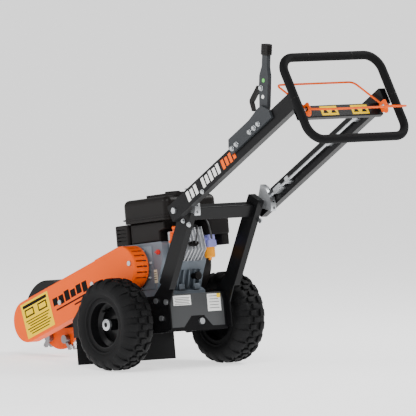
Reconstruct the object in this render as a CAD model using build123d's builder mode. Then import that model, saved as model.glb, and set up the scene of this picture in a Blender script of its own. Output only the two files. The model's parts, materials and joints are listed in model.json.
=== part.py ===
"""Walk-behind stump grinder: belt-driven cutter on a two-wheeled frame with a folding handle.

Millimetres. +X is the machine's left (belt side), +Y its rear (operator), +Z up.
The origin is on the ground under the middle of the machine's length.
The body stands nose down on its tyres and flap, so most pieces are placed in the
machine's own tilted frame: x across, u rearwards from the axle, w square to the deck.
"""
from build123d import *
from math import asin, cos, degrees, radians, sin
import os

os.makedirs("parts", exist_ok=True)

# ---------------------------------------------------------------- driving sizes
# stance
nose_down = 7.8
tyre_diameter = 406.0
tyre_width = 158.0
track = 628.0
rim_diameter = 231.0
axle_radius = 12.5
running_gap = 0.05
free_gap = 0.5
seat = 0.5

# chassis
plate_spacing = 331.0
side_plate_wall = 10.0
deck_height = 108.0
deck_wall = 6.0
deck_front = -195.0
deck_rear = 187.0
side_plate_depth = 157.0
boom_width = 100.0
boom_depth = 84.0
boom_wall = 5.0

# cutter head
cutter_reach = 767.0
cutter_rise = 62.0
cutter_x = 20.0
disc_radius = 134.0
disc_wall = 12.0
tooth_tip_radius = 156.0
tooth_stations = 5
shaft_radius = 15.0
hood_radius = 179.0
hood_width = 130.0
hood_wall = 5.0

# belt drive
crank_u = -50.0
crank_height = 137.0
guard_radius = 93.0
pto_face_x = 120.0
crank_radius = 12.7
guard_wall = 2.0
guard_face_x = 217.0
guard_front_depth = 55.0
guard_rear_depth = 80.0
clutch_radius = 46.0
driven_radius = 60.0
belt_wall = 9.0
belt_width = 34.0

# uprights and handle
tube_depth = 75.0
tube_width = 32.0
tube_wall = 2.5
upright_lean = 31.8
upright_outer_x = 197.5
pivot_u = 415.0
pivot_w = 461.0
handle_rise = 24.8
handle_outer_x = 262.0
handle_length = 955.0
hole_pitch_angle = 17.0
strap_radius = 100.0
strap_wall = 6.0
pin_radius = 6.0
pin_travel = 18.0
loop_width = 541.0
loop_height = 400.0
loop_tube_radius = 19.0
loop_corner = 72.0
bail_wire_radius = 4.5

# wheels turn on the axle, so the axle height is half a tyre
axle_z = tyre_diameter / 2


def turned(a, b, angle):
    """Point (a, b) turned by an angle in degrees."""
    c = cos(radians(angle))
    s = sin(radians(angle))
    return (a * c - b * s, a * s + b * c)


# the handle in the machine's frame, and its reach behind the axle
bail_rear_a = 1097.0
bail_rear_b = -133.0
bail_du, bail_dw = turned(bail_rear_a, bail_rear_b, handle_rise)
bail_dy, bail_dz = turned(pivot_u + bail_du, pivot_w + bail_dw, nose_down)
rear_reach = bail_dy + bail_wire_radius
front_reach = -turned(-cutter_reach, cutter_rise, nose_down)[0] + hood_radius
axle_y = (front_reach - rear_reach) / 2

cross = Vector(1, 0, 0)
back = Vector(0, cos(radians(nose_down)), sin(radians(nose_down)))
rise = Vector(0, -sin(radians(nose_down)), cos(radians(nose_down)))
axle_centre = Vector(0, axle_y, axle_z)


def place(x, u, w):
    """Point of the machine's frame in the part's frame."""
    return axle_centre + cross * x + back * u + rise * w


def side(x):
    """Plane facing left at x, with u to its right and w up."""
    return Plane(origin=place(x, 0, 0), x_dir=back, z_dir=cross)


def level(w):
    """Plane facing up at height w, with x to its right and u up the page."""
    return Plane(origin=place(0, 0, w), x_dir=cross, z_dir=rise)


def facing_front(u):
    """Plane facing forwards at u, with x to its right and w up."""
    return Plane(origin=place(0, u, 0), x_dir=cross, z_dir=-back)


def tilted(x, u, w, angle):
    """Plane facing left at (x, u, w), its x turned up by an angle in the machine's frame."""
    du, dw = turned(1, 0, angle)
    return Plane(origin=place(x, u, w), x_dir=back * du + rise * dw, z_dir=cross)


def handle_side(x):
    """Plane facing left at x, with a running up the handle from its pivot and b square to it."""
    return tilted(x, pivot_u, pivot_w, handle_rise)


def handle_place(x, a, b):
    """Point of the handle's frame in the part's frame."""
    du, dw = turned(a, b, handle_rise)
    return place(x, pivot_u + du, pivot_w + dw)


def save(piece, name):
    """Label a finished piece and write its STEP file."""
    piece.part.label = name
    export_step(piece.part, "parts/" + name + ".step")


# ---------------------------------------------------------------- chassis
half_spacing = plate_spacing / 2
side_plate_inner_x = half_spacing - side_plate_wall
side_plate_top = deck_height - deck_wall
side_plate_bottom = side_plate_top - side_plate_depth
boom_top = side_plate_top
boom_bottom = boom_top - boom_depth
hood_left_x = cutter_x + hood_width / 2
hood_right_x = cutter_x - hood_width / 2
boom_front = -cutter_reach + hood_radius + 12
bolt_head_radius = 13.0
bolt_head_height = 8.0


def side_plate(x):
    """Flat cheek of the chassis, drilled for the axle, its outside face at x or its inside."""
    with BuildPart() as plate:
        with BuildSketch(side(x)):
            with BuildLine():
                Polyline(
                    (deck_front, side_plate_top),
                    (deck_front, 40),
                    (deck_front + 70, side_plate_bottom + 20),
                    (deck_front + 100, side_plate_bottom),
                    (deck_rear - 8, side_plate_bottom),
                    (deck_rear - 8, side_plate_top),
                    close=True,
                )
            make_face()
            Circle(axle_radius, mode=Mode.SUBTRACT)
        extrude(amount=side_plate_wall)
    return plate


left_side_plate = side_plate(side_plate_inner_x)
save(left_side_plate, "left_side_plate")
right_side_plate = side_plate(-half_spacing)
save(right_side_plate, "right_side_plate")

# deck plate, bent down at the rear to close the chassis
with BuildPart() as engine_deck:
    with BuildSketch(side(-half_spacing)):
        with BuildLine():
            Polyline(
                (deck_front, deck_height),
                (deck_front, side_plate_top),
                (deck_rear - 8, side_plate_top),
                (deck_rear - 8, side_plate_bottom),
                (deck_rear - 2, side_plate_bottom),
                (deck_rear - 2, deck_height),
                close=True,
            )
        make_face()
    extrude(amount=plate_spacing)
save(engine_deck, "engine_deck")

# grey cover on the rear of the chassis, notched for the tow bolt
panel_width = 300.0
panel_wall = 2.0
panel_bottom = -38.0
with BuildPart() as rear_panel:
    with BuildSketch(facing_front(deck_rear)):
        with BuildLine():
            Polyline(
                (-panel_width / 2, panel_bottom),
                (-82, panel_bottom),
                (-36, 10),
                (34, 10),
                (79, panel_bottom),
                (panel_width / 2, panel_bottom),
                (panel_width / 2, 68),
                (panel_width / 2 - 20, deck_height),
                (-panel_width / 2 + 12, deck_height),
                (-panel_width / 2, 68),
                close=True,
            )
        make_face()
    extrude(amount=panel_wall)
save(rear_panel, "rear_panel")

# square tube from under the deck to the cutter hood
boom_rear = 120.0
with BuildPart() as boom:
    with BuildSketch(facing_front(boom_rear)):
        with Locations((cutter_x, (boom_top + boom_bottom) / 2)):
            RectangleRounded(boom_width, boom_depth, 8)
            RectangleRounded(boom_width - 2 * boom_wall, boom_depth - 2 * boom_wall, 4, mode=Mode.SUBTRACT)
    extrude(amount=boom_rear - boom_front)
save(boom, "boom")

# half-round hood over the cutter, with cheeks that carry the bearings
cheek_drop = 30.0
with BuildPart() as cutter_hood:
    with BuildSketch(side(hood_right_x)):
        with Locations((-cutter_reach, cutter_rise)):
            Circle(hood_radius)
        with Locations((-cutter_reach, cutter_rise - hood_radius)):
            Rectangle(2 * hood_radius, 2 * (hood_radius - cheek_drop), mode=Mode.SUBTRACT)
        with Locations((-cutter_reach + hood_radius / 2, (boom_top + boom_bottom) / 2)):
            Rectangle(hood_radius + 24, boom_depth)
    extrude(amount=hood_width)
    with BuildSketch(side(hood_right_x + hood_wall)):
        with Locations((-cutter_reach, cutter_rise)):
            Circle(hood_radius - hood_wall)
    extrude(amount=hood_width - 2 * hood_wall, mode=Mode.SUBTRACT)
    with BuildSketch(side(hood_right_x)):
        with Locations((-cutter_reach, cutter_rise)):
            Circle(shaft_radius + 8)
    extrude(amount=hood_width, mode=Mode.SUBTRACT)
save(cutter_hood, "cutter_hood")

# flanged bearings bolted to both cheeks
bearing_depth = 26.0
with BuildPart() as shaft_bearings:
    for face_x, depth in ((hood_left_x, bearing_depth), (hood_right_x, -bearing_depth)):
        with BuildSketch(side(face_x)):
            with Locations((-cutter_reach, cutter_rise)):
                RectangleRounded(96, 96, 18)
                Circle(shaft_radius + running_gap, mode=Mode.SUBTRACT)
        extrude(amount=depth * 0.45)
        with BuildSketch(side(face_x)):
            with Locations((-cutter_reach, cutter_rise)):
                Circle(34)
                Circle(shaft_radius + running_gap, mode=Mode.SUBTRACT)
        extrude(amount=depth)
save(shaft_bearings, "shaft_bearings")

# dead axle through both cheeks, with a washer head outside each hub
hub_length = 104.0
hub_radius = 25.0
hub_outer_x = track / 2 + 50
hub_inner_x = hub_outer_x - hub_length
axle_end_x = hub_outer_x - 6
with BuildPart() as axle:
    with BuildSketch(side(-axle_end_x)):
        Circle(axle_radius)
    extrude(amount=2 * axle_end_x)
save(axle, "axle")

# spacer tubes that hold each wheel off the chassis
spacer_gap = 1.0
with BuildPart() as axle_spacers:
    for start, end in (
        (half_spacing, hub_inner_x - spacer_gap),
        (-half_spacing, -hub_inner_x + spacer_gap),
    ):
        with BuildSketch(side(start)):
            Circle(axle_radius + 8)
            Circle(axle_radius, mode=Mode.SUBTRACT)
        extrude(amount=end - start)
save(axle_spacers, "axle_spacers")

# angle across the front of the chassis with gussets, holding the rubber flap
flap_u = -333.0
flap_wall = 6.0
flap_half_width = 280.0
rail_top = boom_bottom
with BuildPart() as flap_rail:
    with BuildSketch(side(-flap_half_width)):
        with BuildLine():
            Polyline(
                (flap_u, rail_top),
                (flap_u, -38),
                (flap_u + 5, -38),
                (flap_u + 5, rail_top - 5),
                (flap_u + 50, rail_top - 5),
                (flap_u + 50, rail_top),
                close=True,
            )
        make_face()
    extrude(amount=2 * flap_half_width)
    for x in (flap_half_width - 5, -flap_half_width):
        with BuildSketch(side(x)):
            with BuildLine():
                Polyline(
                    (flap_u - 12, -38),
                    (flap_u - 12, 39),
                    (flap_u + 45, 92),
                    (flap_u + 70, 92),
                    (flap_u + 70, 40),
                    (flap_u + 25, -38),
                    close=True,
                )
            make_face()
        extrude(amount=5)
save(flap_rail, "flap_rail")

# rubber flap hanging to the ground in front of the wheels
flap_top = rail_top - 8
flap_low_w = -(axle_z + (flap_u - flap_wall) * sin(radians(nose_down))) / cos(radians(nose_down))
with BuildPart() as debris_flap:
    with BuildSketch(side(-flap_half_width + 6)):
        with BuildLine():
            Polyline(
                (flap_u - flap_wall, flap_top),
                (flap_u - flap_wall, flap_low_w),
                (flap_u, flap_low_w + flap_wall * sin(radians(nose_down))),
                (flap_u, flap_top),
                close=True,
            )
        make_face()
    extrude(amount=2 * flap_half_width - 12)
save(debris_flap, "debris_flap")


# ---------------------------------------------------------------- uprights
upright_mid_x = upright_outer_x - tube_width / 2
upright_below = 318.0 / cos(radians(upright_lean))
upright_above = 46.0
upright_angle = 90 - upright_lean
upright_bottom_u = pivot_u - upright_below * sin(radians(upright_lean))
upright_bottom_w = pivot_w - upright_below * cos(radians(upright_lean))
foot_bolts = ((123, 86), (193, 76), (152, 8))


def upright(outer_x):
    """Rectangular tube on a bolted foot plate, leaning back to the handle pivot."""
    low_x = min(outer_x, outer_x - tube_width) if outer_x > 0 else outer_x
    foot_x = half_spacing if outer_x > 0 else -half_spacing - 6
    with BuildPart() as post:
        with BuildSketch(tilted(low_x, pivot_u, pivot_w, upright_angle)):
            with Locations(((upright_above - upright_below) / 2, 0)):
                RectangleRounded(upright_above + upright_below, tube_depth, 10)
        extrude(amount=tube_width)
        with BuildSketch(tilted(low_x + tube_wall, pivot_u, pivot_w, upright_angle)):
            with Locations(((upright_above - upright_below) / 2, 0)):
                Rectangle(upright_above + upright_below - 30, tube_depth - 2 * tube_wall)
        extrude(amount=tube_width - 2 * tube_wall, mode=Mode.SUBTRACT)
        with BuildSketch(side(foot_x)):
            with BuildLine():
                Polyline(
                    (95, side_plate_bottom + 8),
                    (100, 100),
                    (upright_bottom_u - 20, upright_bottom_w + 40),
                    (upright_bottom_u + 60, upright_bottom_w + 40),
                    (212, 60),
                    (212, side_plate_bottom + 8),
                    close=True,
                )
            make_face()
        extrude(amount=6)
        with BuildSketch(side(low_x)):
            with Locations((pivot_u, pivot_w)):
                Circle(8 + running_gap)
        extrude(amount=tube_width, mode=Mode.SUBTRACT)
    return post


left_upright = upright(upright_outer_x)
save(left_upright, "left_upright")
right_upright = upright(-upright_outer_x)
save(right_upright, "right_upright")

# flat bar joining the uprights below the pivot
cross_w = 450.0
cross_depth = 62.0
cross_u = pivot_u - (pivot_w - cross_w) * sin(radians(upright_lean)) / cos(radians(upright_lean))
with BuildPart() as upright_crossbar:
    with BuildSketch(tilted(-upright_outer_x + tube_width, cross_u, cross_w, upright_angle)):
        RectangleRounded(cross_depth, 34, 5)
        Rectangle(cross_depth - 6, 34 - 6, mode=Mode.SUBTRACT)
    extrude(amount=2 * (upright_outer_x - tube_width))
save(upright_crossbar, "upright_crossbar")

# sector plates with a drilled strap round them, where the lock pins drop in
strap_inner_x = upright_outer_x + 6
strap_outer_x = handle_outer_x - tube_width - 4
sector_low = handle_rise - 2.5 * hole_pitch_angle
sector_high = handle_rise + 2.5 * hole_pitch_angle
with BuildPart() as adjuster_straps:
    for sign in (1, -1):
        first_x = upright_outer_x if sign > 0 else -upright_outer_x
        with BuildSketch(side(first_x)):
            with Locations((pivot_u, pivot_w)):
                Circle(strap_radius)
                Circle(10, mode=Mode.SUBTRACT)
            with BuildLine():
                Polyline(
                    (pivot_u, pivot_w),
                    (pivot_u + 300 * cos(radians(sector_low)), pivot_w + 300 * sin(radians(sector_low))),
                    (pivot_u + 300, pivot_w + 300),
                    (pivot_u + 300 * cos(radians(sector_high)), pivot_w + 300 * sin(radians(sector_high))),
                    close=True,
                )
            make_face(mode=Mode.INTERSECT)
        extrude(amount=sign * (strap_outer_x - upright_outer_x))
        with BuildSketch(side(sign * strap_inner_x)):
            with Locations((pivot_u, pivot_w)):
                Circle(strap_radius - strap_wall)
        extrude(amount=sign * (strap_outer_x - strap_inner_x + 5), mode=Mode.SUBTRACT)
    for step in range(-2, 3):
        angle = handle_rise + step * hole_pitch_angle
        for sign in (1, -1):
            hole_x = sign * (strap_inner_x + strap_outer_x) / 2
            du, dw = turned(strap_radius - 3 * strap_wall, 0, angle)
            hole_plane = Plane(
                origin=place(hole_x, pivot_u + du, pivot_w + dw),
                x_dir=cross,
                z_dir=back * cos(radians(angle)) + rise * sin(radians(angle)),
            )
            with BuildSketch(hole_plane):
                Circle(pin_radius + 0.4)
            extrude(amount=4 * strap_wall, mode=Mode.SUBTRACT)
save(adjuster_straps, "adjuster_straps")


# ---------------------------------------------------------------- wheels
rim_radius = rim_diameter / 2
bead_radius = rim_radius - 14
rim_lip = tyre_width / 2 - 22


def tyre(centre_x):
    """Balloon tyre with a hollow carcass, seated on the rim's beads."""
    half = tyre_width / 2
    with BuildPart() as rubber:
        with BuildSketch(Plane(origin=place(centre_x, 0, 0), x_dir=cross, z_dir=(0, -1, 0))):
            with BuildLine():
                Line((-rim_lip, bead_radius), (-rim_lip, rim_radius + seat))
                Line((-rim_lip, rim_radius + seat), (-half + 8, rim_radius + 12))
                Spline(
                    (-half + 8, rim_radius + 12),
                    (-half, rim_radius + 42),
                    (-half + 10, axle_z - 20),
                    (-half + 26, axle_z - 5),
                )
                Spline(
                    (-half + 26, axle_z - 5),
                    (0, axle_z),
                    (half - 26, axle_z - 5),
                )
                Spline(
                    (half - 26, axle_z - 5),
                    (half - 10, axle_z - 20),
                    (half, rim_radius + 42),
                    (half - 8, rim_radius + 12),
                )
                Line((half - 8, rim_radius + 12), (rim_lip, rim_radius + seat))
                Line((rim_lip, rim_radius + seat), (rim_lip, bead_radius))
                Line((rim_lip, bead_radius), (half - 30, bead_radius))
                Line((half - 30, bead_radius), (half - 30, rim_radius + 8))
                Spline(
                    (half - 30, rim_radius + 8),
                    (half - 14, bead_radius + 56),
                    (half - 34, axle_z - 18),
                    (0, axle_z - 14),
                    (-half + 34, axle_z - 18),
                    (-half + 14, bead_radius + 56),
                    (-half + 30, rim_radius + 8),
                )
                Line((-half + 30, rim_radius + 8), (-half + 30, bead_radius))
                Line((-half + 30, bead_radius), (-rim_lip, bead_radius))
            make_face()
        revolve(axis=Axis(place(centre_x, 0, 0), (1, 0, 0)), revolution_arc=360)
    return rubber


def rim(centre_x, sign):
    """Pressed steel rim with its hub tube, dished to the outside."""
    lip = rim_lip
    with BuildPart() as wheel:
        with BuildSketch(Plane(origin=place(centre_x, 0, 0), x_dir=cross * sign, z_dir=(0, -sign, 0))):
            with BuildLine():
                Polyline(
                    (-lip, bead_radius),
                    (-lip, rim_radius),
                    (-lip - 3, rim_radius),
                    (-lip - 3, bead_radius - 3),
                    (-24, bead_radius - 3),
                    (-14, bead_radius - 20),
                    (-8, hub_radius + 12),
                    (-8, hub_radius - 2),
                    (0, hub_radius - 2),
                    (0, hub_radius + 14),
                    (-6, bead_radius - 22),
                    (6, bead_radius - 22),
                    (18, bead_radius - 3),
                    (lip + 3, bead_radius - 3),
                    (lip + 3, rim_radius),
                    (lip, rim_radius),
                    (lip, bead_radius),
                    close=True,
                )
            make_face()
        revolve(axis=Axis(place(centre_x, 0, 0), (1, 0, 0)), revolution_arc=360)
        start = sign * hub_inner_x
        with BuildSketch(side(start)):
            Circle(hub_radius)
        extrude(amount=sign * hub_length)
        with BuildSketch(side(start)):
            Circle(axle_radius + running_gap)
        extrude(amount=sign * (hub_length - 5), mode=Mode.SUBTRACT)
        with BuildSketch(side(start)):
            Circle(8)
        extrude(amount=sign * hub_length, mode=Mode.SUBTRACT)
    return wheel


left_tyre = tyre(track / 2)
save(left_tyre, "left_tyre")
right_tyre = tyre(-track / 2)
save(right_tyre, "right_tyre")
left_rim = rim(track / 2, 1)
save(left_rim, "left_rim")
right_rim = rim(-track / 2, -1)
save(right_rim, "right_rim")


# ---------------------------------------------------------------- cutter
shaft_left_x = guard_face_x - 14
shaft_right_x = hood_right_x - bearing_depth - 6
with BuildPart() as cutter_shaft:
    with BuildSketch(side(shaft_right_x)):
        with Locations((-cutter_reach, cutter_rise)):
            Circle(shaft_radius)
    extrude(amount=shaft_left_x - shaft_right_x)
save(cutter_shaft, "cutter_shaft")

# steel disc with a boss, bored to the shaft
boss_radius = 34.0
boss_width = 56.0
with BuildPart() as cutter_disc:
    with BuildSketch(side(cutter_x - disc_wall / 2)):
        with Locations((-cutter_reach, cutter_rise)):
            Circle(disc_radius)
    extrude(amount=disc_wall)
    with BuildSketch(side(cutter_x - boss_width / 2)):
        with Locations((-cutter_reach, cutter_rise)):
            Circle(boss_radius)
    extrude(amount=boss_width)
    with BuildSketch(side(cutter_x - boss_width / 2)):
        with Locations((-cutter_reach, cutter_rise)):
            Circle(shaft_radius)
    extrude(amount=boss_width, mode=Mode.SUBTRACT)
save(cutter_disc, "cutter_disc")

# pockets on both faces of the disc, each holding one carbide tooth
pocket_radius = 19.0
pocket_width = 24.0
pocket_at = 104.0
first_tooth_angle = -90 + 180 / tooth_stations - nose_down
tooth_width = 16.0
with BuildPart() as tooth_holders:
    for station in range(tooth_stations):
        angle = first_tooth_angle + station * 360 / tooth_stations
        du, dw = turned(pocket_at, 0, angle)
        for face_x, depth in (
            (cutter_x + disc_wall / 2, pocket_width),
            (cutter_x - disc_wall / 2, -pocket_width),
        ):
            with BuildSketch(side(face_x)):
                with Locations((-cutter_reach + du, cutter_rise + dw)):
                    Circle(pocket_radius)
            extrude(amount=depth)
save(tooth_holders, "tooth_holders")

with BuildPart() as cutter_teeth:
    for station in range(tooth_stations):
        angle = first_tooth_angle + station * 360 / tooth_stations
        tooth_start = pocket_at + pocket_radius
        du, dw = turned((tooth_start + tooth_tip_radius) / 2, 0, angle)
        for face_x, depth in (
            (cutter_x + disc_wall / 2, tooth_width),
            (cutter_x - disc_wall / 2, -tooth_width),
        ):
            with BuildSketch(side(face_x)):
                with Locations(Location((-cutter_reach + du, cutter_rise + dw, 0), angle)):
                    Rectangle(tooth_tip_radius - tooth_start, tooth_width)
            extrude(amount=depth)
save(cutter_teeth, "cutter_teeth")


# ---------------------------------------------------------------- belt drive and guard
crank_w = deck_height + crank_height
drive_du = -cutter_reach - crank_u
drive_dw = cutter_rise - crank_w
drive_length = (drive_du**2 + drive_dw**2) ** 0.5
drive_angle = degrees(asin((crank_w - cutter_rise) / drive_length))
belt_x = 186.0


def drive_plane(x):
    """Plane facing left at x, its origin at the cutter shaft and its x up to the crank."""
    return tilted(x, -cutter_reach, cutter_rise, drive_angle)


with BuildPart() as driven_pulley:
    with BuildSketch(side(belt_x - belt_width / 2 - 3)):
        with Locations((-cutter_reach, cutter_rise)):
            Circle(driven_radius + 5)
    extrude(amount=3)
    with BuildSketch(side(belt_x - belt_width / 2)):
        with Locations((-cutter_reach, cutter_rise)):
            Circle(driven_radius - 0.6)
    extrude(amount=belt_width - 8)
    with BuildSketch(side(belt_x - belt_width / 2 - 3)):
        with Locations((-cutter_reach, cutter_rise)):
            Circle(shaft_radius)
    extrude(amount=belt_width, mode=Mode.SUBTRACT)
save(driven_pulley, "driven_pulley")

with BuildPart() as crankshaft:
    with BuildSketch(side(pto_face_x - 33)):
        with Locations((crank_u, crank_w)):
            Circle(crank_radius)
    extrude(amount=shaft_left_x - pto_face_x + 34)
save(crankshaft, "crankshaft")

with BuildPart() as clutch_drum:
    with BuildSketch(side(belt_x - belt_width / 2 - 3)):
        with Locations((crank_u, crank_w)):
            Circle(clutch_radius + 5)
    extrude(amount=3)
    with BuildSketch(side(belt_x - belt_width / 2)):
        with Locations((crank_u, crank_w)):
            Circle(clutch_radius - 0.6)
    extrude(amount=belt_width - 8)
    with BuildSketch(side(belt_x - belt_width / 2 - 3)):
        with Locations((crank_u, crank_w)):
            Circle(crank_radius)
    extrude(amount=belt_width, mode=Mode.SUBTRACT)
save(clutch_drum, "clutch_drum")

# belt loop round both pulleys, standing just clear of them
pulley_step = asin((driven_radius - clutch_radius) / drive_length)
with BuildPart() as drive_belt:
    with BuildSketch(drive_plane(belt_x - belt_width / 2)):
        for outside, mode in ((belt_wall, Mode.ADD), (0, Mode.SUBTRACT)):
            big = driven_radius + outside
            small = clutch_radius + outside
            s = sin(pulley_step)
            c = cos(pulley_step)
            with BuildLine():
                top = Line((big * s, big * c), (drive_length + small * s, small * c))
                ThreePointArc(top @ 1, (drive_length + small, 0), (drive_length + small * s, -small * c))
                Line((drive_length + small * s, -small * c), (big * s, -big * c))
                ThreePointArc((big * s, -big * c), (-big, 0), top @ 0)
            make_face(mode=mode)
    extrude(amount=belt_width - 10)
save(drive_belt, "drive_belt")

# steel back plate of the guard, on stand-offs from the engine and the left bearing
back_plate_x = guard_face_x - guard_front_depth
back_plate_wall = 3.0
guard_gap = 0.3
cover_bolts = (271.0, 522.0, drive_length + 68)
standoff_radius = 9.0
with BuildPart() as guard_back_plate:
    with BuildSketch(drive_plane(back_plate_x)):
        with Locations((drive_length / 2, 0)):
            SlotCenterToCenter(drive_length, 2 * (guard_radius - guard_wall - guard_gap))
        with Locations((0, 0)):
            Circle(shaft_radius + 12, mode=Mode.SUBTRACT)
        with Locations((drive_length, 0)):
            Circle(crank_radius + 14, mode=Mode.SUBTRACT)
    extrude(amount=back_plate_wall)
    with BuildSketch(drive_plane(pto_face_x)):
        with Locations((drive_length, 0)):
            with PolarLocations(52, 4, start_angle=45):
                Circle(standoff_radius)
    extrude(amount=back_plate_x - pto_face_x)
    with BuildSketch(drive_plane(hood_left_x)):
        with Locations((0, 0)):
            with PolarLocations(78, 3, start_angle=-10, angular_range=160):
                Circle(standoff_radius)
    extrude(amount=back_plate_x - hood_left_x)
save(guard_back_plate, "guard_back_plate")

# pressed front cover of the guard, tucked under the rear cover at the lap
lap_from_crank = 165.0
lap_overlap = 22.0
front_cover_end = drive_length - lap_from_crank + lap_overlap
front_face_x = guard_face_x - guard_wall - guard_gap
with BuildPart() as guard_front_cover:
    with BuildSketch(drive_plane(back_plate_x)):
        with Locations((drive_length / 2, 0)):
            SlotCenterToCenter(drive_length, 2 * guard_radius)
    extrude(amount=front_face_x - back_plate_x)
    fillet(guard_front_cover.faces().filter_by(GeomType.PLANE).sort_by(Axis.X)[-1].edges(), 5)
    with BuildSketch(drive_plane(back_plate_x)):
        with Locations((drive_length / 2, 0)):
            SlotCenterToCenter(drive_length, 2 * (guard_radius - guard_wall))
    extrude(amount=front_face_x - back_plate_x - guard_wall, mode=Mode.SUBTRACT)
    with BuildSketch(drive_plane(back_plate_x)):
        with Locations((front_cover_end + drive_length / 2, 0)):
            Rectangle(drive_length, 4 * guard_radius)
    extrude(amount=guard_front_depth, mode=Mode.SUBTRACT)
    with BuildSketch(drive_plane(back_plate_x)):
        with Locations((cover_bolts[0], 0), (cover_bolts[1], 0)):
            Circle(4)
    extrude(amount=guard_front_depth, mode=Mode.SUBTRACT)
save(guard_front_cover, "guard_front_cover")

# deeper rear cover over the clutch, its rim slotted to let the heat out
cover_radius = guard_radius + guard_wall + guard_gap
rear_edge_x = guard_face_x - guard_rear_depth
vent_count = 9
vent_length = 60.0
vent_width = 7.0
vent_pitch_angle = 15.5
with BuildPart() as guard_rear_cover:
    with BuildSketch(drive_plane(rear_edge_x)):
        with Locations((drive_length / 2, 0)):
            SlotCenterToCenter(drive_length, 2 * cover_radius)
    extrude(amount=guard_rear_depth)
    fillet(guard_rear_cover.faces().filter_by(GeomType.PLANE).sort_by(Axis.X)[-1].edges(), 6)
    with BuildSketch(drive_plane(rear_edge_x)):
        with Locations((drive_length / 2, 0)):
            SlotCenterToCenter(drive_length, 2 * (cover_radius - guard_wall))
    extrude(amount=guard_rear_depth - guard_wall, mode=Mode.SUBTRACT)
    with BuildSketch(drive_plane(rear_edge_x)):
        with Locations((drive_length - lap_from_crank - drive_length, 0)):
            Rectangle(2 * drive_length, 4 * guard_radius)
    extrude(amount=guard_rear_depth, mode=Mode.SUBTRACT)
    for vent in range(vent_count):
        angle = 78 - vent * vent_pitch_angle
        radial = turned(1, 0, angle + drive_angle)
        vent_plane = Plane(
            origin=place(rear_edge_x + 6 + vent_length / 2, crank_u, crank_w),
            x_dir=cross,
            z_dir=back * radial[0] + rise * radial[1],
        )
        with BuildSketch(vent_plane):
            SlotOverall(vent_length, vent_width)
        extrude(amount=2 * guard_radius, mode=Mode.SUBTRACT)
    with BuildSketch(drive_plane(rear_edge_x)):
        with Locations((cover_bolts[2], 0)):
            Circle(4)
    extrude(amount=guard_rear_depth, mode=Mode.SUBTRACT)
save(guard_rear_cover, "guard_rear_cover")


# ---------------------------------------------------------------- engine
crankcase_right_x = -128.0
crankcase_top = 345.0
shell_wall = 3.0
cast_wall = 9.0

# cast block with its foot, stepping up at the rear to the cylinder
with BuildPart() as crankcase:
    with BuildSketch(side(crankcase_right_x)):
        with BuildLine():
            Polyline(
                (-178, deck_height),
                (96, deck_height),
                (96, deck_height + 16),
                (70, deck_height + 30),
                (88, 190),
                (120, 250),
                (132, crankcase_top),
                (-150, crankcase_top),
                (-170, 300),
                (-165, deck_height + 30),
                (-178, deck_height + 16),
                close=True,
            )
        make_face()
    extrude(amount=pto_face_x - crankcase_right_x)
    with BuildSketch(side(crankcase_right_x)):
        with BuildLine():
            Polyline(
                (-150, deck_height + 40),
                (62, deck_height + 40),
                (78, 190),
                (106, 250),
                (118, crankcase_top - cast_wall - 6),
                (-136, crankcase_top - cast_wall - 6),
                (-158, 290),
                close=True,
            )
        make_face()
    extrude(amount=pto_face_x - crankcase_right_x - cast_wall, mode=Mode.SUBTRACT)
    with BuildSketch(side(pto_face_x - cast_wall - 1)):
        with Locations((crank_u, crank_w)):
            Circle(crank_radius + running_gap)
    extrude(amount=cast_wall + 30, mode=Mode.SUBTRACT)
    fillet(crankcase.edges().filter_by(Axis.X).sort_by(Axis.Z)[-1], 12)
    with BuildSketch(side(pto_face_x)):
        with Locations((crank_u, crank_w)):
            Circle(crank_radius + 0.4)
    extrude(amount=-34, mode=Mode.SUBTRACT)
save(crankcase, "crankcase")

# finned cylinder block rising to the rear
cylinder_left_x = 84.0
cylinder_right_x = -60.0
fin_count = 7
fin_pitch = 14.0
with BuildPart() as cylinder:
    with BuildSketch(side(cylinder_right_x)):
        with BuildLine():
            Polyline((133, 262), (176, 262), (214, 300), (196, 384), (133, 384), close=True)
        make_face()
    extrude(amount=cylinder_left_x - cylinder_right_x)
    for fin in range(fin_count):
        fin_x = cylinder_right_x + 12 + fin * (fin_pitch + 5)
        with BuildSketch(side(fin_x)):
            with BuildLine():
                Polyline((150, 250), (186, 250), (228, 296), (208, 396), (150, 396), close=True)
            make_face()
        extrude(amount=4)
save(cylinder, "cylinder")

# dark cover over the flywheel and its fan, with the starter's drum on it
blower_radius = 140.0
blower_depth = 62.0
starter_radius = 98.0
starter_depth = 30.0
with BuildPart() as blower_housing:
    with BuildSketch(side(crankcase_right_x)):
        with Locations((crank_u, crank_w)):
            Circle(blower_radius - 6)
    extrude(amount=-blower_depth)
    fillet(blower_housing.faces().sort_by(Axis.X)[0].edges(), 14)
    with BuildSketch(side(crankcase_right_x - blower_depth)):
        with Locations((crank_u, crank_w)):
            Circle(starter_radius)
    extrude(amount=-starter_depth)
    fillet(blower_housing.faces().sort_by(Axis.X)[0].edges(), 10)
    with BuildSketch(side(crankcase_right_x)):
        with Locations((crank_u, crank_w)):
            Circle(starter_radius - 14)
    extrude(amount=-(blower_depth + starter_depth - shell_wall), mode=Mode.SUBTRACT)
    with BuildSketch(side(crankcase_right_x)):
        with Locations((crank_u, crank_w)):
            Circle(blower_radius - 6 - 2 * shell_wall)
    extrude(amount=-(blower_depth - 4 * shell_wall), mode=Mode.SUBTRACT)
save(blower_housing, "blower_housing")

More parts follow.
